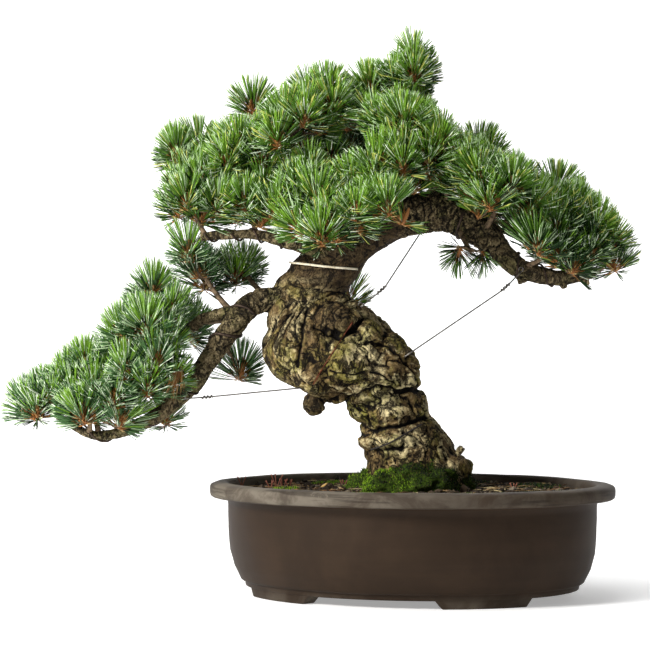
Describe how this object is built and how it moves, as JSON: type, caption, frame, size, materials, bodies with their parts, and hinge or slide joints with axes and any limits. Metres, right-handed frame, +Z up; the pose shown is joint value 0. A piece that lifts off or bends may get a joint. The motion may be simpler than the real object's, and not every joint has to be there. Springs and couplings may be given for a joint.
{
  "type": "japanese white pine bonsai in an oval brown pot",
  "caption": "Leaning white pine bonsai with thick corky bark, sweeping boughs and tufted needle pads, guy-wired, in an oval brown stoneware pot on low feet.",
  "frame": {"origin": "on the plane of the pot's feet, under the centre of the plant's box", "axes": "+Z up, -Y toward the front from which the plant is seen, +X to the right"},
  "size_m": [0.6605, 0.363, 0.5791],
  "materials": {
    "pot_stoneware": "brown unglazed stoneware, weathered pale on the lip",
    "soil_grit": "dark brown gritty soil with litter",
    "moss_green": "bright green cushion moss",
    "trunk_bark": "deeply fissured plated bark",
    "bough_bark": "rough brown bark",
    "needle_green": "green needles with blue-white inner faces",
    "guy_steel": "dull galvanised wire"
  },
  "bodies": {
    "root": {"pot": "pot_stoneware", "soil": "soil_grit", "moss": "moss_green", "trunk": "trunk_bark", "right_bough": "bough_bark", "right_bough_end": "bough_bark", "right_upper_branch": "bough_bark", "lower_left_bough": "bough_bark", "lower_left_bend": "bough_bark", "lower_left_branch": "bough_bark", "upper_left_bough": "bough_bark", "left_crown_bough": "bough_bark", "leader": "bough_bark", "back_bough": "bough_bark", "right_back_bough": "bough_bark", "left_front": "needle_green", "left_back": "needle_green", "left_middle": "needle_green", "left_low": "needle_green", "left_shoot": "needle_green", "left_inner": "needle_green", "left_centre": "needle_green", "front_low": "needle_green", "top_left": "needle_green", "top_back": "needle_green", "top_middle": "needle_green", "apex": "needle_green", "top_front": "needle_green", "front_left": "needle_green", "front_middle": "needle_green", "front_right": "needle_green", "right_crown": "needle_green", "right_top": "needle_green", "right_shoulder": "needle_green", "right_peak": "needle_green", "right_outer": "needle_green", "right_under": "needle_green", "right_tip": "needle_green", "right_hanging": "needle_green", "low_left_tip": "needle_green", "low_left_outer": "needle_green", "low_left_end": "needle_green", "low_left_front": "needle_green", "low_left_upper": "needle_green", "low_left_crown": "needle_green", "low_left_inner": "needle_green", "low_left_under": "needle_green", "low_left_spur": "needle_green", "low_left_twig": "needle_green", "trunk_back": "needle_green", "back_left": "needle_green", "back_middle": "needle_green", "back_right": "needle_green", "back_right_low": "needle_green", "low_left_back": "needle_green", "guy_wire_long": "guy_steel", "guy_wire_short": "guy_steel", "guy_wire_low": "guy_steel"}
  },
  "joints": []
}
